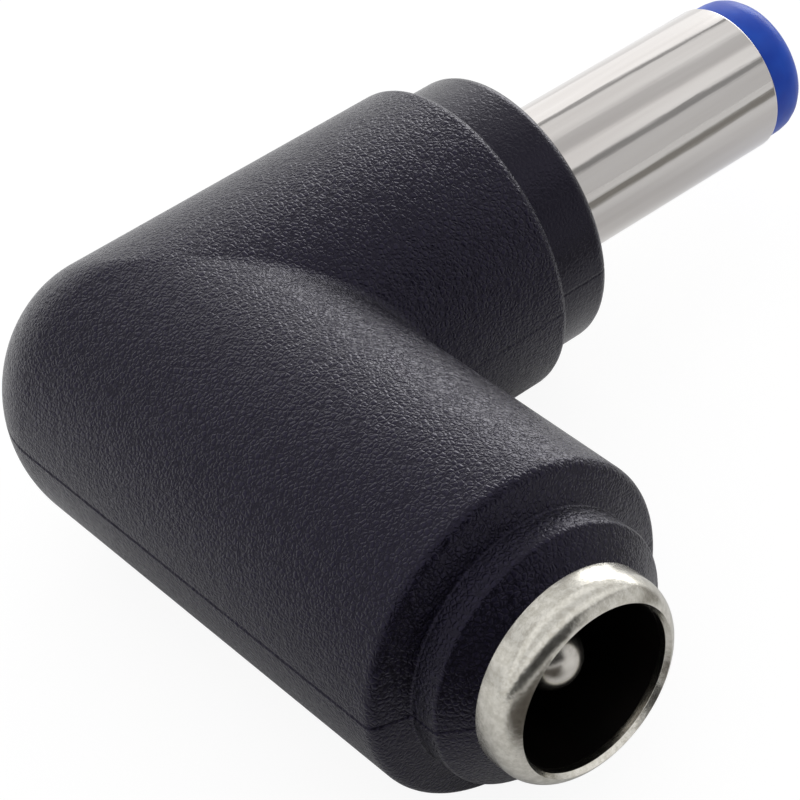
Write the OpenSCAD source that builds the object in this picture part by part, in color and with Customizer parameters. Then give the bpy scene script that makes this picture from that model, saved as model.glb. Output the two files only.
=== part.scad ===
// Right-angle DC power adapter: a 5.5 mm barrel plug on one arm and a 5.5 mm barrel jack on the other,
// wired to each other inside a moulded elbow. Millimetres. The adapter lies on its side, so both arms
// are level: the plug points along +X and the jack opens along -Y. The origin is on the plug's axis,
// in the front face of the plug's collar, which is where the plug seats against its socket.
// Inside the modules, the elbow's own origin is the point where the axes of the two arms cross.

/* [Elbow overmould] */
// Diameter of both round arms
arm_d = 11.3; // [10.6:0.1:13]
// Radius that rounds the outside of the corner, as seen from above
corner_r = 4; // [2.5:0.1:5]
// Length of the plug's arm, from the crossing of the axes to its shoulder
plug_arm_len = 11.3; // [10.8:0.1:16]
// Length of the jack's arm, from the crossing of the axes to the outer edge of its end
jack_arm_len = 15.6; // [14.5:0.1:20]
// Small radius on the outer edge of each arm's end
arm_edge_r = 0.4; // [0.1:0.05:0.8]
// How far the end of the jack's arm slopes forward, from its edge to its collar
jack_end_slope = 0.4; // [0.1:0.05:0.8]
// Wall of the overmould round the inner mould
overmould_wall = 1.45; // [1:0.05:1.6]

/* [Collars] */
// Diameter of the collar round the plug
plug_collar_d = 10; // [8.5:0.1:10.5]
// Length of the collar round the plug
plug_collar_len = 2.4; // [2.3:0.1:4]
// Radius on the front edge of the plug's collar
plug_collar_edge_r = 0.45; // [0.1:0.05:1]
// Diameter of the collar round the jack
jack_collar_d = 8.8; // [8.4:0.1:10]
// Length of the collar round the jack, past the sloping end of its arm
jack_collar_len = 1.7; // [1.2:0.1:3]
// How much of that length is the collar's cone, which closes in on the jack's shell
jack_collar_cone_len = 0.7; // [0.3:0.05:0.9]
// Radius on the edge where the collar's side meets its cone
jack_collar_edge_r = 0.2; // [0.05:0.05:0.4]

/* [Plug] */
// Outer diameter of the plug's barrel
barrel_d = 5.5; // [5.2:0.05:6]
// Length of the bright barrel, in front of the collar
barrel_len = 10.3; // [9:0.1:13]
// Wall of the barrel
barrel_wall = 0.55; // [0.45:0.05:0.65]
// Depth of the neck behind the collar's face that the moulding grips
neck_depth = 0.25; // [0.2:0.05:0.3]
// Length of that neck
neck_len = 0.8; // [0.4:0.1:1]
// How far the flange at the back of the barrel stands out past the barrel
flange_rise = 0.65; // [0.3:0.05:0.9]
// Length of that flange
flange_len = 1.4; // [0.8:0.1:1.5]
// Diameter of the coloured insulating tip
tip_d = 5.3; // [5:0.05:5.45]
// Length of the tip in front of the barrel
tip_len = 1.7; // [1.4:0.1:2.5]
// Radius of the tip's domed edge
tip_edge_r = 1; // [0.3:0.05:1.1]
// How much the tip's side narrows from the barrel to that edge, as draft for its mould
tip_draft = 0.04; // [0.01:0.01:0.1]
// Depth of the tip's shank inside the barrel
tip_shank_len = 4; // [2:0.1:7]

/* [Plug contact] */
// Diameter of the pin that the plug's centre contact takes
contact_bore_d = 2.5; // [2.1:0.05:2.6]
// Wall of the centre contact's tube
contact_wall = 0.35; // [0.25:0.05:0.4]
// How far the contact's mouth lies behind the front of the tip
contact_setback = 0.8; // [0.5:0.05:1.2]
// Length of the two slots that let the contact spring open
contact_slot_len = 7; // [4:0.1:9]
// Width of those slots
contact_slot_w = 0.4; // [0.2:0.05:0.6]
// Thickness of the floor at the back of the contact's tube
contact_floor = 0.8; // [0.5:0.1:1.5]
// Diameter of the contact's round tail
contact_tail_d = 1.5; // [1.3:0.05:1.8]
// Depth of the solder cup in the tail's end
cup_depth = 1.2; // [0.6:0.1:2]
// Length of the rear insulator's shank inside the barrel
rear_shank_len = 1.6; // [1:0.1:2]
// Thickness of the rear insulator's head
rear_head_len = 0.6; // [0.4:0.1:1]
// Clearance between pieces that are assembled loose
slip_gap = 0.05; // [0.02:0.01:0.1]

/* [Jack] */
// Bore of the jack, which takes the barrel of a plug
jack_bore_d = 5.6; // [5.55:0.05:5.9]
// Depth of the jack's bore, from its mouth to its floor
jack_depth = 9.5; // [8.5:0.1:10.5]
// Wall of the black housing that lines the bore
liner_wall = 0.35; // [0.3:0.05:0.45]
// Wall of the bright shell round the housing
shell_wall = 0.3; // [0.25:0.05:0.4]
// How far the shell stands out of its collar
shell_out = 1.5; // [1.2:0.1:2.5]
// Radius that rounds the shell's nose
nose_r = 0.9; // [0.7:0.05:1]
// Thickness of the shell's lip in front of the housing
lip_len = 0.5; // [0.4:0.05:0.7]
// Width of the countersink at the mouth
mouth_chamfer = 0.12; // [0.05:0.01:0.18]
// How far the shell's rear flange stands out
shell_flange_rise = 0.55; // [0.2:0.05:0.65]
// Length of the shell's rear flange
shell_flange_len = 0.8; // [0.5:0.1:1.2]
// Thickness of the housing's base, behind the floor of the bore
base_len = 2.3; // [1.8:0.1:2.6]
// How much of the base lies behind the shell
base_heel_len = 1.2; // [0.8:0.1:1.4]

/* [Jack contacts] */
// Diameter of the jack's centre pin
jack_pin_d = 2.1; // [2:0.05:2.5]
// How far the pin's domed tip lies inside the mouth
jack_pin_setback = 1.2; // [0.6:0.1:2]
// Diameter of the pin's shank through the base
pin_shank_d = 1.4; // [1.2:0.05:1.6]
// Diameter of the rivet head that closes the pin on its tag
rivet_d = 2.2; // [1.9:0.05:2.3]
// Thickness of that rivet head
rivet_len = 0.4; // [0.3:0.05:0.6]
// Thickness of the pin's solder tag
tag_t = 0.3; // [0.2:0.05:0.4]
// Width of the solder tag
tag_w = 1.2; // [1:0.1:1.6]
// Thickness of the contact leaf
leaf_t = 0.2; // [0.1:0.05:0.25]
// Width of the contact leaf
leaf_w = 1.4; // [1:0.1:1.5]
// How far the leaf bows into the bore
leaf_bow = 0.3; // [0.15:0.05:0.45]
// Length of the leaf's bow, along the bore
leaf_bow_len = 5.6; // [4:0.1:6]

/* [Terminals and wiring] */
// Thickness of the plug's sleeve lug
lug_t = 0.4; // [0.3:0.05:0.5]
// Width of the lug's tab
lug_w = 2; // [1.6:0.1:2.4]
// Length of the lug's tab behind its ring
lug_tab_len = 3.5; // [2.6:0.1:3.8]
// Length of the jack's tag and of its leaf's tail behind the base
tail_len = 2.8; // [2.4:0.1:3]
// Diameter of a wire's bare core
core_d = 0.8; // [0.6:0.05:0.9]
// Diameter of a wire's insulation
wire_d = 1.3; // [1.1:0.05:1.5]
// Radius of each wire's bend, at its centre line
bend_r = 2.5; // [2:0.1:3]
// Length of core that is stripped bare at each end
strip_len = 2.6; // [2:0.1:2.9]
// Radius of the solder on a flat terminal
solder_r = 0.8; // [0.65:0.05:0.9]

/* [Hidden] */
$fn = 96;
far = 60;  // longer than the part, for cuts that run right through

arm_r = arm_d / 2;
inner_r = arm_r - overmould_wall;

// Stations along the plug's arm, from the crossing
plug_face = plug_arm_len + plug_collar_len;
neck_back = plug_face - neck_len;
barrel_back = neck_back - flange_len;
barrel_front = plug_face + barrel_len;
tip_front = barrel_front + tip_len;
barrel_r = barrel_d / 2;
barrel_in_r = barrel_r - barrel_wall;
contact_r = contact_bore_d / 2 + contact_wall;
contact_mouth = tip_front - contact_setback;
contact_back = barrel_back + rear_shank_len;
lug_back = barrel_back - lug_t;
rear_head_back = lug_back - rear_head_len;

// Stations along the jack's arm, from the crossing
jack_collar_face = jack_arm_len + jack_end_slope + jack_collar_len;
mouth = jack_collar_face + shell_out;
bore_floor = mouth - jack_depth;
base_back = bore_floor - base_len;
shell_back = base_back + base_heel_len;
bore_r = jack_bore_d / 2;
liner_r = bore_r + liner_wall;
shell_r = liner_r + shell_wall;
pin_tip = mouth - jack_pin_setback;
jack_pin_r = jack_pin_d / 2;

// The leaf's corners clear the shell round the housing's wall, and the plug's lug lies level with it
terminal_h = sqrt(pow(liner_r, 2) - pow(leaf_w / 2, 2)) - slip_gap - leaf_t;
// A film of solder lies between each core and the flat of its terminal
return_h = terminal_h - slip_gap - core_d / 2;
// The tag stands beside the rivet head, and the live wire's core lies along it
tag_x = -rivet_d / 2 - slip_gap;
live_x = tag_x + slip_gap + core_d / 2;
lug_tab_back = lug_back - lug_tab_len;
tail_back = base_back - tail_len;
// Where each wire's core stops short of the piece in front of it
core_plug_end = rear_head_back - 6 * slip_gap;
core_jack_end = base_back - tag_t - rivet_len - 6 * slip_gap;
wire_plug_end = core_plug_end - strip_len;
wire_jack_end = core_jack_end - strip_len;
cup_end = wire_plug_end + 0.5 * strip_len;

// ---- Placing ----

// Draws on the plug's arm: the children's +Z becomes the plug's axis, and their -X is up
module on_plug() translate([-plug_face, 0, 0]) rotate([0, 90, 0]) children();

// Draws on the jack's arm: the children's +Z becomes the jack's axis, and their +Y is up
module on_jack() translate([-plug_face, 0, 0]) rotate([90, 0, 0]) children();

// Draws at the crossing of the axes, without turning
module at_crossing() translate([-plug_face, 0, 0]) children();

// ---- Shapes that repeat ----

// A quarter of a disc, to round the corner of a profile
module quarter_disc(r) intersection() {
    circle(r);
    square(r);
}

// A round rod from one station to another, with its far edge rounded
module rod(r, from, to, edge = 0) {
    rotate_extrude() translate([0, from]) {
        square([r, to - from - edge]);
        square([r - edge, to - from]);
        if (edge > 0) translate([r - edge, to - from - edge]) quarter_disc(edge);
    }
}

// A tube from one station to another
module tube(r, hole_r, from, to) {
    rotate_extrude() translate([hole_r, from]) square([r - hole_r, to - from]);
}

// A wire's round: back along the plug's arm, round the bend and out along the jack's arm
module wire_run(r, jack_x, height, plug_end, jack_end) {
    at_crossing() translate([jack_x + bend_r, -bend_r, height]) {
        translate([0, bend_r, 0]) rotate([0, 90, 0]) cylinder(r = r, h = plug_end - jack_x - bend_r);
        rotate([0, 0, 90]) rotate_extrude(angle = 90) translate([bend_r, 0]) circle(r);
        translate([-bend_r, 0, 0]) rotate([90, 0, 0]) cylinder(r = r, h = jack_end - bend_r);
    }
}

// ---- Overmould ----

// The outside of the corner. Both arms run on until they meet, and past the upright line where the
// rounding starts, the arms' own section is turned about that line and blends each arm into the other.
module corner() {
    start = arm_r - corner_r;
    difference() {
        intersection() {
            rotate([0, 90, 0]) cylinder(r = arm_r, h = 2 * arm_r, center = true);
            rotate([90, 0, 0]) cylinder(r = arm_r, h = 2 * arm_r, center = true);
            translate([-arm_r, 0, -arm_r]) cube([arm_r, arm_r, 2 * arm_r]);
        }
        translate([-start, start, 0]) difference() {
            translate([-far, 0, -far / 2]) cube(far);
            rotate_extrude() intersection() {
                translate([-start, 0]) circle(arm_r);
                translate([0, -arm_r]) square([arm_r, 2 * arm_r]);
            }
        }
    }
}

// The jack's collar: a short round side, and a cone that closes in on the shell, with an eased edge
module jack_collar(from) {
    r = jack_collar_d / 2;
    cone_start = jack_collar_face - jack_collar_cone_len;
    turn = atan2(r - shell_r, jack_collar_cone_len);
    eased_start = cone_start - jack_collar_edge_r * tan(turn / 2);
    ease_end = [r, eased_start] + jack_collar_edge_r * [cos(turn) - 1, sin(turn)];
    rotate_extrude() {
        polygon([[0, from], [r, from], [r, eased_start], ease_end, [shell_r, jack_collar_face], [0, jack_collar_face]]);
        translate([r - jack_collar_edge_r, eased_start]) circle(jack_collar_edge_r);
    }
}

// The jack arm's end: a rounded edge, and a face that slopes forward to the collar
module jack_arm() {
    collar_r = jack_collar_d / 2;
    end = jack_arm_len + jack_end_slope;
    rod(arm_r, 0, jack_arm_len, arm_edge_r);
    rotate_extrude() polygon([[0, 0], [arm_r - arm_edge_r, jack_arm_len], [collar_r, end], [0, end]]);
    jack_collar(jack_arm_len);
}

module inner_mould_outline() {
    on_plug() cylinder(r = inner_r, h = barrel_back);
    on_jack() cylinder(r = inner_r, h = shell_back);
    at_crossing() sphere(inner_r);
}

module barrel_outline() {
    on_plug() {
        cylinder(r = barrel_r + flange_rise, h = neck_back);
        cylinder(r = barrel_r - neck_depth, h = barrel_front);
    }
}

module shell_outline() {
    on_jack() {
        cylinder(r = shell_r, h = far);
        cylinder(r = shell_r + shell_flange_rise, h = shell_back + shell_flange_len);
    }
}

module overmould() color([0.13, 0.13, 0.15]) difference() {
    union() {
        at_crossing() corner();
        on_plug() {
            rod(arm_r, 0, plug_arm_len, arm_edge_r);
            rod(plug_collar_d / 2, 0, plug_face, plug_collar_edge_r);
        }
        on_jack() jack_arm();
    }
    inner_mould_outline();
    barrel_outline();
    shell_outline();
}

module inner_mould() color([0.85, 0.84, 0.8]) difference() {
    inner_mould_outline();
    plug_terminals();
    jack_terminals();
    wiring();
}

// ---- Plug ----

module plug_barrel() color([0.78, 0.76, 0.72]) on_plug() difference() {
    union() {
        rod(barrel_r + flange_rise, barrel_back, neck_back);
        rod(barrel_r - neck_depth, barrel_back, plug_face);
        rod(barrel_r, plug_face, barrel_front);
    }
    cylinder(r = barrel_in_r, h = far);
}

// The tip's side in front of the barrel, which narrows a little towards its domed edge
module tip_front_outline() {
    edge_start = tip_front - tip_edge_r;
    front_r = tip_d / 2 - tip_draft;
    rotate_extrude() {
        polygon([[0, barrel_front], [tip_d / 2, barrel_front], [front_r, edge_start], [0, edge_start]]);
        translate([0, edge_start]) square([front_r - tip_edge_r, tip_edge_r]);
        translate([front_r - tip_edge_r, edge_start]) quarter_disc(tip_edge_r);
    }
}

// The tip's hole is a little wider than the contact's bore, and opens in a cone
module plug_tip_insulator() color([0.1, 0.25, 0.75]) on_plug() {
    hole_r = contact_bore_d / 2 + slip_gap;
    lead = 0.3;
    difference() {
        union() {
            tip_front_outline();
            rod(barrel_in_r, barrel_front - tip_shank_len, barrel_front);
        }
        cylinder(r = hole_r, h = far);
        cylinder(r = contact_r + slip_gap, h = contact_mouth);
        translate([0, 0, tip_front - lead]) cylinder(r1 = hole_r, r2 = hole_r + lead, h = lead);
    }
}

module plug_centre_contact() color([0.8, 0.76, 0.6]) on_plug() difference() {
    union() {
        rod(contact_r, contact_back, contact_mouth);
        rod(contact_tail_d / 2, cup_end, contact_back);
    }
    translate([0, 0, contact_back + contact_floor]) cylinder(d = contact_bore_d, h = far);
    translate([0, 0, cup_end]) cylinder(d = core_d, h = cup_depth);
    translate([-contact_slot_w / 2, -far / 2, contact_mouth - contact_slot_len])
        cube([contact_slot_w, far, far]);
}

module plug_rear_insulator() color([0.93, 0.92, 0.88]) on_plug() difference() {
    union() {
        rod(barrel_in_r, lug_back, contact_back);
        rod(terminal_h - 2 * slip_gap, rear_head_back, lug_back);
    }
    cylinder(d = contact_tail_d, h = far);
}

// A flat ring behind the barrel, with its tab folded back level with the jack's leaf
module plug_sleeve_lug() color([0.82, 0.7, 0.35]) on_plug() {
    tube(terminal_h + lug_t, barrel_in_r, lug_back, barrel_back);
    intersection() {
        translate([-terminal_h - lug_t, -lug_w / 2, lug_tab_back]) cube([lug_t, lug_w, lug_tab_len]);
        cylinder(r = terminal_h + lug_t, h = far);
    }
}

module plug_terminals() {
    plug_centre_contact();
    plug_rear_insulator();
    plug_sleeve_lug();
}

// ---- Jack ----

// A tube with a rounded nose that turns in over the front of the housing
module jack_shell() color([0.78, 0.76, 0.72]) on_jack() {
    rotate_extrude() difference() {
        union() {
            translate([0, shell_back]) square([shell_r + shell_flange_rise, shell_flange_len]);
            translate([0, shell_back]) square([shell_r, mouth - nose_r - shell_back]);
            translate([shell_r - nose_r, mouth - nose_r]) circle(nose_r);
            translate([0, mouth - nose_r]) square([shell_r - nose_r, nose_r]);
        }
        square([liner_r, mouth - lip_len]);
        square([bore_r, far]);
        polygon([[bore_r, mouth - 2 * mouth_chamfer], [bore_r + mouth_chamfer, mouth], [bore_r, mouth]]);
    }
}

// The slot in the housing's wall that the leaf bows through
module leaf_slot() {
    width = leaf_w + 4 * slip_gap;
    translate([-width / 2, 0, leaf_foot()]) cube([width, far, leaf_bow_len + 2 * slip_gap]);
}

// Where the leaf's bow begins, in front of the bore's floor
function leaf_foot() = bore_floor + 3 * leaf_t;

module jack_housing() color([0.08, 0.08, 0.09]) on_jack() difference() {
    union() {
        rod(liner_r, shell_back, mouth - lip_len);
        rod(shell_r, base_back, shell_back);
    }
    translate([0, 0, bore_floor]) cylinder(r = bore_r, h = far);
    cylinder(d = pin_shank_d, h = far);
    leaf_slot();
    leaf_section();
}

module jack_centre_pin() color([0.8, 0.78, 0.73]) on_jack() {
    rod(jack_pin_r, bore_floor, pin_tip - jack_pin_r);
    translate([0, 0, pin_tip - jack_pin_r]) sphere(jack_pin_r);
    rod(pin_shank_d / 2, base_back - tag_t, bore_floor);
    rod(rivet_d / 2, base_back - tag_t - rivet_len, base_back - tag_t);
}

// A ring under the rivet head, with its tab folded back beside it
module jack_pin_tag() color([0.82, 0.7, 0.35]) on_jack() {
    ring_back = base_back - tag_t;
    difference() {
        union() {
            rod(rivet_d / 2, ring_back, base_back);
            translate([tag_x - tag_t, -tag_w / 2, ring_back]) cube([tag_t - tag_x, tag_w, tag_t]);
            translate([tag_x - tag_t, -tag_w / 2, tail_back]) cube([tag_t, tag_w, tail_len]);
        }
        cylinder(d = pin_shank_d, h = far);
    }
}

// The leaf from the side: a straight tail through the base, then a bow into the bore and back
function bow(part) = leaf_bow * (1 - cos(360 * part)) / 2;
module leaf_profile() {
    steps = 16;
    inner = [for (i = [0:steps]) [terminal_h - bow(i / steps), leaf_foot() + leaf_bow_len * i / steps]];
    outer = [for (i = [steps:-1:0]) inner[i] + [leaf_t, 0]];
    polygon(concat([[terminal_h, tail_back]], inner, outer, [[terminal_h + leaf_t, tail_back]]));
}

module leaf_section() {
    rotate([90, 0, 90]) linear_extrude(leaf_w, center = true) leaf_profile();
}

module jack_contact_leaf() color([0.82, 0.7, 0.35]) on_jack() leaf_section();

module jack_terminals() {
    on_jack() rod(shell_r, base_back, shell_back);
    jack_centre_pin();
    jack_pin_tag();
    jack_contact_leaf();
}

// ---- Wiring ----

module live_wire_core() color([0.75, 0.45, 0.25])
    wire_run(core_d / 2, live_x, 0, cup_end + cup_depth, core_jack_end);

module live_wire_insulation() color([0.75, 0.1, 0.1]) difference() {
    wire_run(wire_d / 2, live_x, 0, wire_plug_end, wire_jack_end);
    live_wire_core();
}

module return_wire_core() color([0.75, 0.45, 0.25])
    wire_run(core_d / 2, 0, return_h, core_plug_end, core_jack_end);

module return_wire_insulation() color([0.12, 0.12, 0.12]) difference() {
    wire_run(wire_d / 2, 0, return_h, wire_plug_end, wire_jack_end);
    return_wire_core();
}

// Solder drawn up between the cup's rim and the core
module plug_contact_solder() color([0.7, 0.7, 0.72]) on_plug() {
    rise = 0.6;
    difference() {
        translate([0, 0, cup_end - rise]) cylinder(r1 = core_d / 2 + slip_gap, d2 = contact_tail_d, h = rise);
        cylinder(d = core_d, h = far);
    }
}

// Half a ball of solder that holds a core to the flat of a terminal, drawn with the flat at y = 0
module flat_solder() {
    intersection() {
        sphere(solder_r);
        translate([-far / 2, 0, -far / 2]) cube(far);
    }
}

module plug_lug_solder() color([0.7, 0.7, 0.72]) difference() {
    on_plug() translate([-terminal_h, 0, lug_tab_back + solder_r + slip_gap]) rotate([0, 0, -90]) flat_solder();
    return_wire_core();
}

module jack_tag_solder() color([0.7, 0.7, 0.72]) difference() {
    on_jack() translate([tag_x, 0, tail_back + solder_r + slip_gap]) rotate([0, 0, -90]) flat_solder();
    live_wire_core();
}

module jack_leaf_solder() color([0.7, 0.7, 0.72]) difference() {
    on_jack() translate([0, terminal_h, tail_back + solder_r + slip_gap]) rotate([0, 0, 180]) flat_solder();
    return_wire_core();
}

module wiring() {
    live_wire_core();
    live_wire_insulation();
    return_wire_core();
    return_wire_insulation();
    plug_contact_solder();
    plug_lug_solder();
    jack_tag_solder();
    jack_leaf_solder();
}

overmould();
inner_mould();
plug_barrel();
plug_tip_insulator();
plug_centre_contact();
plug_rear_insulator();
plug_sleeve_lug();
jack_shell();
jack_housing();
jack_centre_pin();
jack_pin_tag();
jack_contact_leaf();
live_wire_core();
live_wire_insulation();
return_wire_core();
return_wire_insulation();
plug_contact_solder();
plug_lug_solder();
jack_tag_solder();
jack_leaf_solder();
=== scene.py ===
from math import cos, hypot, pi, radians, sin, tan

import bmesh
import bpy
import numpy as np
from mathutils import Matrix, Vector


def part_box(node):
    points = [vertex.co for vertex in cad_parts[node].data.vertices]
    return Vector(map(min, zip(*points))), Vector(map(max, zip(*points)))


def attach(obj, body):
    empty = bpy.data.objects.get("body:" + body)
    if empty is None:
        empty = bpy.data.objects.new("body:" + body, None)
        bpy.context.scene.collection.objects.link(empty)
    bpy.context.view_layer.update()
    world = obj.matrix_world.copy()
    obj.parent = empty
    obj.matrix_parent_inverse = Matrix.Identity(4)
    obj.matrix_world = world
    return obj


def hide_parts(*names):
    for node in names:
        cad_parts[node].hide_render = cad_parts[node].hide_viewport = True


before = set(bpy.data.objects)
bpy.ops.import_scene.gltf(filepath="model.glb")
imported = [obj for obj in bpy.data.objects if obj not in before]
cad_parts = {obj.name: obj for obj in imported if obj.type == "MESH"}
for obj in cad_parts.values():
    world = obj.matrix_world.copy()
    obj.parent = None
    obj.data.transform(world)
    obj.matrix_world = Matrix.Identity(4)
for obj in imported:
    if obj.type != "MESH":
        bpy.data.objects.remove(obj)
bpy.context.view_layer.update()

# ---- The moulded elbow ----
# Soft black vinyl with an eroded grain, shot round the wired plug and jack in a mould of two halves. The arms
# meet in a crease inside and a rolled corner outside, and a fine line runs round the sides where the mould
# parts. Lengths are in millimetres from the point where the arms' axes cross.

MM = 0.001
elbow_low, elbow_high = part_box("overmould")
arm_r = (elbow_high.z - elbow_low.z) / 2 / MM
crossing_x = elbow_low.x / MM + arm_r
mitre = radians(45)
corner_r = 4.0
corner_blend = 0.7
crease_r = 0.35
crease_runs_out = 1.5


def on_plug_arm(station, across, up):
    """A point on the plug's arm. Across is towards the outside of the bend."""
    return (crossing_x + station, across, up)


def on_jack_arm(station, across, up):
    return (crossing_x - across, -station, up)


def eased(corners, steps=6):
    """An outline through corners of (station, radius, edge), where each edge is rounded by an arc."""
    points = []
    for i, (station, radius, edge) in enumerate(corners):
        corner = Vector((station, radius))
        if not edge:
            points.append(tuple(corner))
            continue
        back = (Vector(corners[i - 1][:2]) - corner).normalized()
        ahead = (Vector(corners[(i + 1) % len(corners)][:2]) - corner).normalized()
        half = back.angle(ahead) / 2
        centre = corner + (back + ahead).normalized() * edge / sin(half)
        first = corner + back * edge / tan(half) - centre
        turn = first.angle_signed(corner + ahead * edge / tan(half) - centre)
        points += [tuple(centre + Matrix.Rotation(-turn * k / steps, 2) @ first) for k in range(steps + 1)]
    return points


line_width, line_depth = 0.14, 0.06
inner_line_share = 0.3
line_sides = 0.8
half_line = line_width / 2 / arm_r
line_margin = 2.2
line_columns = (-1.6, -1, -0.55, 0, 0.55, 1, 1.6)
skin_columns = 208


def off_line(angle):
    """How far round the skin an angle lies from the nearer parting line."""
    return min(angle % pi, pi - angle % pi)


even_angles = [2 * pi * (k + 0.5) / skin_columns for k in range(skin_columns)]
skin_angles = sorted(
    [angle for angle in even_angles if off_line(angle) > line_margin * half_line]
    + [side + column * half_line for side in (0, pi) for column in line_columns]
)


def skin_ring(station, radius):
    return [(station, radius * cos(angle), radius * sin(angle)) for angle in skin_angles]


def corner_roll(across):
    """Radius, from above, of the bend that a line along the skin makes: rolled outside, eased inside."""
    past = across - (arm_r - corner_r)
    towards_crease = min(max(-across / crease_runs_out, 0), 1)
    return (past + hypot(past, corner_blend)) / 2 + crease_r * towards_crease ** 2


def round_arm(radius, roll, outline, bend_steps=16, straight_steps=5):
    """Rows of points of (station, across, up), from the mitre plane round the bend and along the outline."""
    rows = []
    for k in range(bend_steps + straight_steps + 1):
        row = []
        for angle in skin_angles:
            across, up = radius * cos(angle), radius * sin(angle)
            bend = roll(across)
            turn = mitre * max(1 - k / bend_steps, 0)
            share = max(k - bend_steps, 0) / straight_steps
            start = bend - across
            station = start - bend * sin(turn) + share * (outline[0][0] - start)
            row.append((station, across - bend + bend * cos(turn), up))
        rows.append(row)
    return rows + [skin_ring(*point) for point in outline[1:]]


def with_parting_line(rows):
    """Sinks the parting line into the skin, square to it, along both sides of an arm."""
    points = np.array(rows)
    across_line = np.roll(points, -1, axis=1) - np.roll(points, 1, axis=1)
    normal = np.cross(across_line, np.gradient(points, axis=0))
    normal /= np.linalg.norm(normal, axis=2, keepdims=True) + 1e-12
    row_in_bend = 5
    outward = np.sign((normal[row_in_bend] * points[row_in_bend]).sum())
    depth = []
    for angle in skin_angles:
        deepest = line_depth * (inner_line_share if cos(angle) < 0 else 1)
        depth.append(deepest * max(1 - off_line(angle) / half_line, 0) ** line_sides)
    return (points - outward * np.array(depth)[None, :, None] * normal).tolist()


def arm_shell(outside, inside, place):
    """An arm's skin, its steps down to the piece that it holds, and its inner wall back to the mitre."""
    skin = with_parting_line(round_arm(arm_r, corner_roll, outside))
    steps = [skin_ring(*point) for point in inside[:-1]]
    wall = round_arm(inner_r, lambda across: max(across, 0), [inside[-1]])
    return [[place(*point) for point in row] for row in skin + steps + wall[::-1]]


def piece(name, rows, finish, node):
    """A closed skin woven from rows of points in millimetres, which stands for a CAD node."""
    columns = len(rows[0])
    faces = []
    for j in range(len(rows)):
        here = j * columns
        over = (j + 1) % len(rows) * columns
        for i in range(columns):
            beside = (i + 1) % columns
            faces.append((here + i, here + beside, over + beside, over + i))
    mesh = bpy.data.meshes.new(name)
    mesh.from_pydata([tuple(c * MM for c in point) for row in rows for point in row], [], faces)
    work = bmesh.new()
    work.from_mesh(mesh)
    bmesh.ops.remove_doubles(work, verts=work.verts, dist=1e-7)
    bmesh.ops.dissolve_degenerate(work, edges=work.edges, dist=1e-8)
    bmesh.ops.recalc_face_normals(work, faces=work.faces)
    work.to_mesh(mesh)
    work.free()
    mesh.shade_smooth()
    mesh.set_sharp_from_angle(angle=radians(28))
    mesh.materials.append(finish.material)
    made = bpy.data.objects.new(name, mesh)
    bpy.context.scene.collection.objects.link(made)
    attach(made, "root")
    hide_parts(node)


class Signal:
    """The output of a shader node, which takes part in plain arithmetic."""

    def __init__(self, nodes, socket):
        self.nodes, self.socket = nodes, socket

    def __add__(self, other):
        return self.nodes.calc("ADD", self, other)

    def __sub__(self, other):
        return self.nodes.calc("SUBTRACT", self, other)

    def __rsub__(self, other):
        return self.nodes.calc("SUBTRACT", other, self)

    def __mul__(self, other):
        return self.nodes.calc("MULTIPLY", self, other)

    __radd__, __rmul__ = __add__, __mul__

    def rise(self, start, end):
        """A smooth step from 0 to 1 as the signal goes from start to end."""
        limits = {"Value": self, "From Min": start, "From Max": end}
        return self.nodes.add("MapRange", {"interpolation_type": "SMOOTHSTEP"}, limits)

    def part(self, axis):
        """One coordinate of a vector: 0 is x, 1 is y and 2 is z."""
        return self.nodes.add("SeparateXYZ", {}, {0: self}, axis)


class Nodes:
    """The node tree of a material or of the world."""

    def __init__(self, tree):
        self.tree = tree

    def add(self, kind, settings=None, inputs=None, output=0):
        """Adds a node, sets it, gives its sockets values or links, and returns one of its outputs."""
        node = self.tree.nodes.new("ShaderNode" + kind)
        for name, value in (settings or {}).items():
            setattr(node, name, value)
        for name, value in (inputs or {}).items():
            self.feed(node.inputs[name], value)
        return Signal(self, node.outputs[output])

    def calc(self, operation, *values):
        return self.add("Math", {"operation": operation}, dict(enumerate(values)))

    def feed(self, socket, value):
        if isinstance(value, Signal):
            self.tree.links.new(value.socket, socket)
        elif socket.type == "RGBA":
            socket.default_value = (*value, 1)
        else:
            socket.default_value = value

    def blend(self, mask, first, second):
        """One colour turning into another as the mask goes from 0 to 1."""
        return self.add("Mix", {"data_type": "RGBA"}, {0: mask, 6: first, 7: second}, output=2)


class Finish(Nodes):
    """A material of one surface. Its places are in millimetres, in the part's own frame."""

    def __init__(self, name):
        self.material = bpy.data.materials.new(name)
        self.material.use_nodes = True
        super().__init__(self.material.node_tree)
        self.surface = self.tree.nodes["Principled BSDF"]
        place = self.add("TexCoord", output=3)
        self.place = self.add("VectorMath", {"operation": "SCALE"}, {0: place, "Scale": 1 / MM})

    def noise(self, size, detail=2.0, stretch=(1, 1, 1), roughness=0.5, output=0):
        """Fractal noise with blotches of about that size in millimetres."""
        place = self.add("VectorMath", {"operation": "MULTIPLY"}, {0: self.place, 1: stretch})
        sockets = {"Vector": place, "Scale": 1 / size, "Detail": detail, "Roughness": roughness}
        return self.add("TexNoise", {}, sockets, output)

    def relief(self, height, depth):
        """Bump whose signal of 1 stands that many millimetres high."""
        return self.add("Bump", {}, {"Height": height, "Distance": depth * MM, "Strength": 1.0})

    def shade(self, **sockets):
        for name, value in sockets.items():
            self.feed(self.surface.inputs[name.replace("_", " ")], value)


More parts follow.
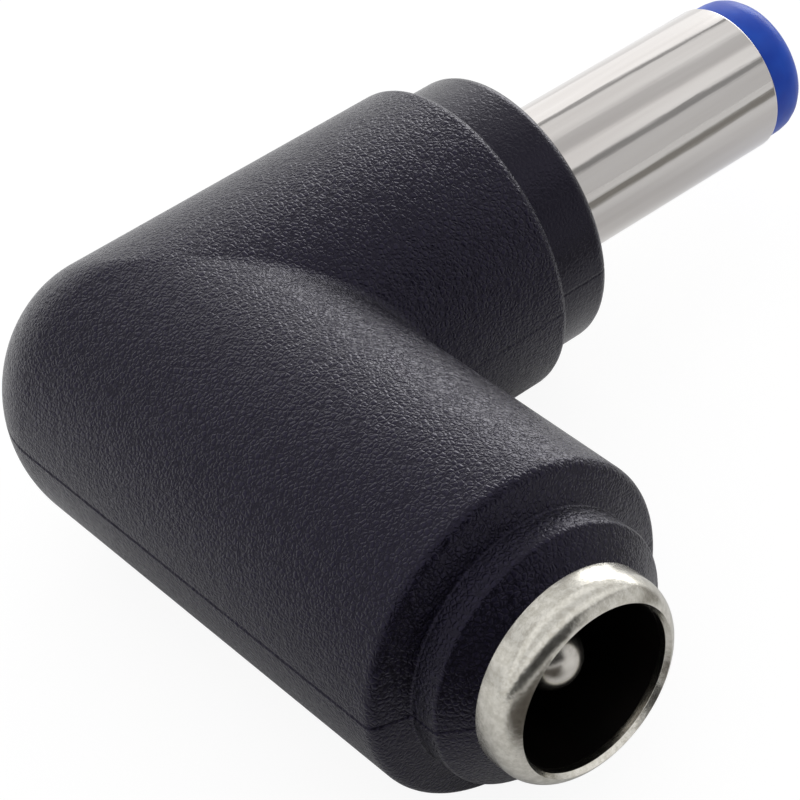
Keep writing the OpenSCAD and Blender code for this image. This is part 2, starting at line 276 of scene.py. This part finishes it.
plug_face = elbow_high.x / MM - crossing_x
plug_collar_len, plug_collar_r, plug_collar_edge = 2.4, 5.0, 0.45
plug_collar_back = plug_face - plug_collar_len
jack_collar_face = -elbow_low.y / MM
jack_collar_len, jack_collar_r = 1.7, 4.4
jack_cone_len, jack_end_slope = 0.7, 0.4
jack_collar_back = jack_collar_face - jack_collar_len
arm_edge = 0.4


def black_vinyl():
    """Plateaus between wandering valleys, quieter on the jack's end, and smoother on the plug's collar, whose
    colour is also darkened there as painted shade.
    """
    finish = Finish("grained_black_vinyl")
    cell, wander, depth = 0.17, 0.16, 0.052
    drift = finish.noise(0.3, 2.0, output=1)
    shift = {0: drift, 1: (wander,) * 3, 2: finish.place}
    place = finish.add("VectorMath", {"operation": "MULTIPLY_ADD"}, shift)
    sockets = {"Vector": place, "Scale": 1 / cell, "Randomness": 1.0}
    plateaus = finish.add("TexVoronoi", {"feature": "DISTANCE_TO_EDGE"}, sockets).rise(0.0, 0.30)
    grain = plateaus * 0.30 + finish.noise(0.10, 2.0) * 0.45 + finish.noise(0.35, 1.0) * 0.6
    along_jack = finish.place.part(1) * -1
    quiet_end = along_jack.rise(jack_collar_back - 0.6, jack_collar_back - 0.3) * 0.3
    along_plug = finish.place.part(0) - crossing_x
    smooth_shaded_collar = along_plug.rise(plug_collar_back - 0.1, plug_collar_back + 0.1)
    cloudy = finish.noise(2.6, 3.0)
    colour = finish.blend(cloudy.rise(0.35, 0.65), (0.0068, 0.0058, 0.0140), (0.0100, 0.0086, 0.0190))
    # Painted shade: the plug's collar gets a darker colour as well as a smoother skin.
    colour = finish.blend(smooth_shaded_collar * 0.8, colour, (0.0012, 0.0011, 0.0018))
    finish.shade(
        Base_Color=finish.blend(plateaus, (0.0025, 0.0022, 0.0045), colour),
        Roughness=0.20 + cloudy * 0.06 + finish.noise(0.2, 2.0) * 0.08,
        Normal=finish.relief(grain * (1 - quiet_end) * (1 - smooth_shaded_collar * 0.65), depth),
        IOR=1.6,
        Specular_Tint=(0.34, 0.31, 0.46),
    )
    return finish


inner_r = 4.2
wall_end = arm_r + 1
barrel_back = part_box("plug_barrel")[0].x / MM - crossing_x
neck_r, flange_r, neck_len = 2.5, 3.4, 0.8
neck_back = plug_face - neck_len
shell_back = -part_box("jack_shell")[1].y / MM
shell_r, shell_flange_r, shell_flange_len = 3.45, 4.0, 0.8
shell_flange_face = shell_back + shell_flange_len

plug_outside = eased([
    (wall_end, arm_r, 0), (plug_collar_back, arm_r, arm_edge), (plug_collar_back, plug_collar_r, 0.06),
    (plug_face, plug_collar_r, plug_collar_edge), (plug_face, neck_r, 0),
])
plug_inside = [
    (neck_back, neck_r), (neck_back, flange_r), (barrel_back, flange_r), (barrel_back, inner_r),
    (wall_end, inner_r),
]
jack_outside = eased([
    (wall_end, arm_r, 0), (jack_collar_back - jack_end_slope, arm_r, arm_edge),
    (jack_collar_back, jack_collar_r, 0.1), (jack_collar_face - jack_cone_len, jack_collar_r, 0.2),
    (jack_collar_face, shell_r, 0),
])
jack_inside = [
    (shell_flange_face, shell_r), (shell_flange_face, shell_flange_r), (shell_back, shell_flange_r),
    (shell_back, inner_r), (wall_end, inner_r),
]
plug_arm = arm_shell(plug_outside, plug_inside, on_plug_arm)
jack_arm = arm_shell(jack_outside, jack_inside, on_jack_arm)
piece("elbow", plug_arm + jack_arm[::-1], black_vinyl(), "overmould")

# ---- The first shot inside it ----
# Pale polyethylene, moulded round the wired plug and jack so that the black vinyl has something to grip.
# It is plain and dull, with a faint mottle from a cool mould.


def dress(finish, *nodes):
    """Gives a finish to CAD nodes whose shape is right as it is."""
    for node in nodes:
        for material_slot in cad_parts[node].material_slots:
            material_slot.material = finish.material


def plain_plastic(name, light, dark, rough, mottle, gloss=0.5):
    """Moulded plastic with blotches of about the mottle's size in millimetres."""
    finish = Finish(name)
    cloudy = finish.noise(mottle, 3.0)
    finish.shade(
        Base_Color=finish.blend(cloudy.rise(0.3, 0.7), dark, light),
        Roughness=rough + finish.noise(mottle / 4, 2.0) * 0.1,
        Normal=finish.relief(finish.noise(mottle / 10, 2.0), 0.006),
        Specular_IOR_Level=gloss,
    )
    return finish


dress(plain_plastic("dull_polyethylene", (0.62, 0.61, 0.55), (0.54, 0.52, 0.46), 0.5, 2.5), "inner_mould")

# ---- Wires and their solder ----
# Two short lengths of hook-up wire, one red and one black, stripped at both ends and soldered to the tags
# before the first shot. The cores are tinned by the iron only where they are soldered.


def metal(name, light, dark, rough, mottle, uneven=0.1, depth=0.002, stretch=(1, 1, 1)):
    """Bare or plated metal, a little uneven in colour and polish and, where it has a depth, in level."""
    finish = Finish(name)
    cloudy = finish.noise(mottle, 3.0, stretch)
    fine = finish.noise(mottle / 5, 3.0, stretch)
    finish.shade(
        Base_Color=finish.blend(cloudy.rise(0.3, 0.7), dark, light),
        Metallic=1.0,
        Roughness=rough + cloudy * uneven * 0.5 + fine * uneven * 0.5,
    )
    if depth:
        finish.shade(Normal=finish.relief(fine, depth))
    return finish


red_vinyl = plain_plastic("red_wire_vinyl", (0.55, 0.03, 0.025), (0.42, 0.02, 0.02), 0.35, 1.5)
dress(red_vinyl, "live_wire_insulation")
wire_vinyl = plain_plastic("black_wire_vinyl", (0.02, 0.02, 0.02), (0.012, 0.012, 0.013), 0.35, 1.5)
dress(wire_vinyl, "return_wire_insulation")
copper = metal("bare_copper", (0.78, 0.38, 0.23), (0.6, 0.27, 0.16), 0.3, 0.6)
dress(copper, "live_wire_core", "return_wire_core")
solder = metal("dull_solder", (0.62, 0.62, 0.64), (0.45, 0.45, 0.48), 0.35, 0.5, 0.25, 0.01)
dress(solder, "plug_contact_solder", "plug_lug_solder", "jack_tag_solder", "jack_leaf_solder")

# ---- The plug's barrel ----
# A drawn brass tube, turned at its ends and plated with bright nickel. Fine streaks of the drawing run along
# it under the plating, and its front edge is broken. A neck and a flange hold it in the moulding.

barrel_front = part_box("plug_barrel")[1].x / MM - crossing_x
barrel_r, barrel_in_r, barrel_edge = 2.75, 2.2, 0.12
drawn = (0.05, 1, 1)
lathe_marks = (1, 0.03, 0.03)


def turned(outline, place, sides=128):
    """An outline of (station, radius) turned about an arm's axis."""
    angles = [2 * pi * k / sides for k in range(sides)]
    return [[place(s, r * cos(a), r * sin(a)) for a in angles] for s, r in outline]


def plug_nickel():
    finish = metal("bright_nickel_plate", (0.70, 0.675, 0.655), (0.61, 0.58, 0.56), 0.05, 0.9, 0.06, 0, drawn)
    streaks = finish.noise(0.22, 3.0, drawn)
    rings = finish.noise(0.07, 2.0, lathe_marks)
    waves = finish.noise(1.7, 1.0) * 3.5 + finish.noise(0.4, 2.0) * 0.25
    finish.shade(Normal=finish.relief(streaks + rings * 0.2 + waves, 0.0034))
    return finish


barrel_outline = eased([
    (barrel_back, barrel_in_r, 0), (barrel_back, flange_r, 0.05), (neck_back, flange_r, 0.05),
    (neck_back, neck_r, 0), (plug_face, neck_r, 0), (plug_face, barrel_r, 0.03),
    (barrel_front, barrel_r, barrel_edge), (barrel_front, barrel_in_r, 0.04),
])
piece("barrel", turned(barrel_outline, on_plug_arm), plug_nickel(), "plug_barrel")

# ---- The plug's blue tip ----
# Moulded acetal that keeps the barrel from the centre contact. Its shank is pressed into the barrel, its
# side has a little draft, and its front edge is domed so that it finds the socket.

tip_low, tip_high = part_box("plug_tip_insulator")
tip_back = tip_low.x / MM - crossing_x
tip_front = tip_high.x / MM - crossing_x
tip_r, tip_draft, tip_dome = 2.65, 0.04, 1.0
hole_r, funnel_r, funnel_len = 1.3, 1.6, 0.3
contact_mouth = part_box("plug_centre_contact")[1].x / MM - crossing_x
contact_r = 1.65


def blue_acetal():
    finish = Finish("blue_acetal")
    cloudy = finish.noise(1.2, 2.0)
    finish.shade(
        Base_Color=finish.blend(cloudy.rise(0.3, 0.7), (0.002, 0.052, 0.47), (0.005, 0.080, 0.57)),
        Roughness=0.30 + finish.noise(0.3, 2.0) * 0.12,
        Specular_IOR_Level=0.28,
        Normal=finish.relief(finish.noise(0.25, 2.0), 0.003),
        Subsurface_Weight=0.08,
        Subsurface_Radius=(0.1 * MM, 0.3 * MM, 1.0 * MM),
        Subsurface_Scale=1.0,
    )
    return finish


tip_outline = eased([
    (tip_back, contact_r, 0), (tip_back, barrel_in_r, 0.05), (barrel_front, barrel_in_r, 0),
    (barrel_front, tip_r, 0.05), (tip_front, tip_r - tip_draft, tip_dome), (tip_front, funnel_r, 0.05),
    (tip_front - funnel_len, hole_r, 0), (contact_mouth, hole_r, 0), (contact_mouth, contact_r, 0),
])
piece("blue_tip", turned(tip_outline, on_plug_arm), blue_acetal(), "plug_tip_insulator")

# ---- The plug's contact, its insulator and its lug ----
# The centre contact is a slotted brass tube, nickel plated. A nylon bush holds its tail in the back of the
# barrel, and a brass ring behind the barrel takes the wire of the sleeve.

dress(metal("plated_contact", (0.72, 0.68, 0.60), (0.60, 0.55, 0.47), 0.22, 0.8), "plug_centre_contact")
dress(plain_plastic("white_nylon", (0.80, 0.79, 0.74), (0.72, 0.71, 0.66), 0.4, 1.8), "plug_rear_insulator")
stamped_brass = metal("stamped_brass", (0.78, 0.58, 0.27), (0.62, 0.44, 0.19), 0.25, 1.0, 0.15, 0.004)
dress(stamped_brass, "plug_sleeve_lug", "jack_pin_tag", "jack_contact_leaf")

# ---- The jack's shell ----
# A drawn brass tube with a satin nickel plate, whose nose is spun over in a full round and turns in over the
# housing's mouth. Handling has mottled the plate a little, and a rear flange holds it in the moulding.

shell_out = 1.5
mouth = jack_collar_face + shell_out
liner_r, bore_r, lip = 3.15, 2.8, 0.5
mouth_chamfer = 0.12
nose_r, nose_turn, nose_steps = 0.9, radians(66), 20


def shell_nickel():
    finish = Finish("satin_nickel_plate")
    cloudy = finish.noise(0.28, 4.0, roughness=0.7)
    fine = finish.noise(0.12, 3.0)
    finish.shade(
        Base_Color=finish.blend(cloudy.rise(0.35, 0.65), (0.60, 0.575, 0.51), (0.78, 0.755, 0.69)),
        Metallic=1.0,
        Roughness=0.15 + cloudy * 0.08 + fine * 0.06,
        Normal=finish.relief(fine * 0.6 + finish.noise(0.35, 2.0), 0.006),
    )
    return finish


nose = []
for k in range(nose_steps + 1):
    turned_in = nose_turn * k / nose_steps
    nose.append((mouth - nose_r * (1 - sin(turned_in)), shell_r - nose_r * (1 - cos(turned_in)), 0))
shell_outline = eased([
    (shell_back, liner_r, 0), (shell_back, shell_flange_r, 0.05), (shell_flange_face, shell_flange_r, 0.05),
    (shell_flange_face, shell_r, 0), *nose, (mouth - 2 * mouth_chamfer, bore_r, 0.05),
    (mouth - lip, bore_r, 0.03), (mouth - lip, liner_r, 0),
])
piece("jack_rim", turned(shell_outline, on_jack_arm), shell_nickel(), "jack_shell")

# ---- The jack's housing ----
# Black nylon that lines the bore and closes it with a base, in which the pin and the leaf are fixed. The
# bore is smooth from its core pin, with a faint brownish cast where light reaches it.

nylon = plain_plastic("black_nylon", (0.0030, 0.0022, 0.0018), (0.0020, 0.0016, 0.0014), 0.34, 1.6, 0.2)
dress(nylon, "jack_housing")

# ---- The jack's centre pin ----
# Turned brass with bright nickel plate and a domed tip. It stands in the housing's base, and its back end is
# riveted over the tag.

pin_low, pin_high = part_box("jack_centre_pin")
pin_tip, pin_back = -pin_low.y / MM, -pin_high.y / MM
jack_depth, base_len, tag_t = 9.5, 2.3, 0.3
bore_floor = mouth - jack_depth
tag_back = bore_floor - base_len - tag_t
pin_r, pin_shank_r, rivet_r, rivet_edge = 1.05, 0.7, 1.1, 0.1
pin_dome = pin_r * 0.98
pin_outline = eased([
    (pin_back, 0, 0), (pin_back, rivet_r, rivet_edge), (tag_back, rivet_r, 0), (tag_back, pin_shank_r, 0),
    (bore_floor, pin_shank_r, 0), (bore_floor, pin_r, 0), (pin_tip, pin_r, pin_dome), (pin_tip, 0, 0),
], steps=12)
pin_plate = metal("bright_pin_plate", (0.74, 0.71, 0.66), (0.60, 0.57, 0.52), 0.16, 0.5, 0.15, 0.002)
piece("centre_pin", turned(pin_outline, on_jack_arm, sides=96), pin_plate, "jack_centre_pin")

# ---- The studio ----
# A white sweep and a soft box behind, a pale ceiling, and a darker wall in front, over a white floor that has
# painted shade for reflections and light.
# The camera looks down along the bend from the jack's side.

aim = Vector((crossing_x + 4.39, -5.08, 0)) * MM
distance = 100.1 * MM
heading, height, roll = radians(35.67), radians(40.16), radians(-7.07)
forward = Vector((sin(heading) * cos(height), cos(heading) * cos(height), -sin(height)))
level = forward.cross(Vector((0, 0, 1))).normalized()
right = level * cos(roll) + level.cross(forward) * sin(roll)
stance = Matrix((right, right.cross(forward), -forward)).transposed()
camera_data = bpy.data.cameras.new("camera")
camera_data.lens, camera_data.sensor_width = 140.38, 36
camera_data.clip_start, camera_data.clip_end = 0.001, 10
camera = bpy.data.objects.new("camera", camera_data)
camera.matrix_world = Matrix.Translation(aim - forward * distance) @ stance.to_4x4()
bpy.context.scene.collection.objects.link(camera)
bpy.context.scene.camera = camera
bpy.context.scene.view_settings.view_transform = "Standard"

world = bpy.data.worlds.new("studio")
bpy.context.scene.world = world
world.use_nodes = True
sky = Nodes(world.node_tree)
toward = sky.add("TexCoord")
east, north, up = (toward.part(axis) for axis in range(3))
around = sky.calc("ARCTAN2", up, north) * (180 / pi)


def zone(start, end, soft=1.0):
    """1 between two angles in degrees, from the horizon behind, over the top, to the horizon in front."""
    return around.rise(start - soft, start + soft) * (1 - around.rise(end - soft, end + soft))


# How much each zone adds to the plain level or takes from it. Some change from west to east.
plain_level, darkest = 0.83, 0.03
eastward = east.rise(-0.35, 0.1)
sweep = zone(-20, 49, 2.0) * (eastward * 0.36 + 0.10) - zone(-20, 28, 6.0) * (1 - eastward) * 0.34
soft_box = zone(2, 42, 5.0) * east.rise(0.61, 0.76) * 3.0
slit = zone(47.5, 54.5) * 0.45
ceiling = zone(57, 84, 5.0) * 0.14 - zone(88, 110, 4.0) * 0.17 + zone(114, 135, 3.0) * 0.16
ceiling_edge = zone(137, 146.5, 1.5) * 0.52
front_wall = zone(147, 200) * 0.20
west_shade = zone(134, 171, 3.0) * (1 - east.rise(0.1, 0.45)) * 0.70
light = plain_level + sweep + soft_box - slit + ceiling - ceiling_edge - front_wall - west_shade
light = sky.calc("MAXIMUM", light, darkest)
sky_seen = sky.add("LightPath")
backdrop = world.node_tree.nodes["Background"]
sky.feed(backdrop.inputs["Color"], (1, 1, 1))
sky.feed(backdrop.inputs["Strength"], light * (1 - sky_seen) + sky_seen)

floor_reach = 0.9
floor_z = -arm_r * MM
floor_corners = [(x * floor_reach, y * floor_reach, floor_z) for x, y in ((-1, -1), (1, -1), (1, 1), (-1, 1))]
floor_mesh = bpy.data.meshes.new("floor")
floor_mesh.from_pydata(floor_corners, [], [(0, 1, 2, 3)])
floor = bpy.data.objects.new("floor", floor_mesh)
bpy.context.scene.collection.objects.link(floor)

# The camera sees plain white paper. For reflections and for light it also has a painted shade patch in the
# south-west and a painted shade band of warm grey in the south-east, and for reflections it glows in the
# north.
paper = Finish("white_paper")
paper_x, paper_y = paper.place.part(0), paper.place.part(1)
paper_seen = paper.add("LightPath")
mirrored = paper.add("LightPath", output=3)
northern = (paper_y - paper_x * 0.6).rise(-14, 6)
# Painted shade: a dark sheet on the floor in front of the jack, seen only in reflections and in the light it
# throws back.
painted_shade_patch = (1 - paper_x.rise(-18, -10)) * (1 - paper_y.rise(-27, -21))
# Painted shade: a warm grey band on the floor in front of the barrel, seen only in reflections and light,
# that gives the barrel a dark reflected band.
painted_shade_band = paper_x.rise(2, 10) * paper_y.rise(-45, -30) * (1 - paper_y.rise(-20, -14))
painted_shade_floor = paper.blend(painted_shade_band, (0.88, 0.88, 0.88), (0.30, 0.29, 0.27))
painted_shade_floor = paper.blend(painted_shade_patch, painted_shade_floor, (0.10, 0.09, 0.08))
paper.shade(
    Base_Color=paper.blend(paper.calc("MAXIMUM", paper_seen, northern), painted_shade_floor, (0.92, 0.92, 0.92)),
    Roughness=0.9,
    Specular_IOR_Level=0.0,
)
lit = Signal(paper, paper.surface.outputs[0])
glow = paper.add("Emission", {}, {"Strength": 1.07})
clear_of_part = paper.calc("MAXIMUM", paper_y.rise(8, 20) * paper_x.rise(-90, -30), paper_x.rise(-4, 4))
glow_share = paper.calc("MAXIMUM", paper_seen, mirrored * northern * clear_of_part) * 0.85
shown = paper.add("MixShader", {}, {0: glow_share, 1: lit, 2: glow})
paper.feed(paper.tree.nodes["Material Output"].inputs["Surface"], shown)
floor_mesh.materials.append(paper.material)

# The dressed model has to stay in the CAD model's box.

bpy.context.view_layer.update()
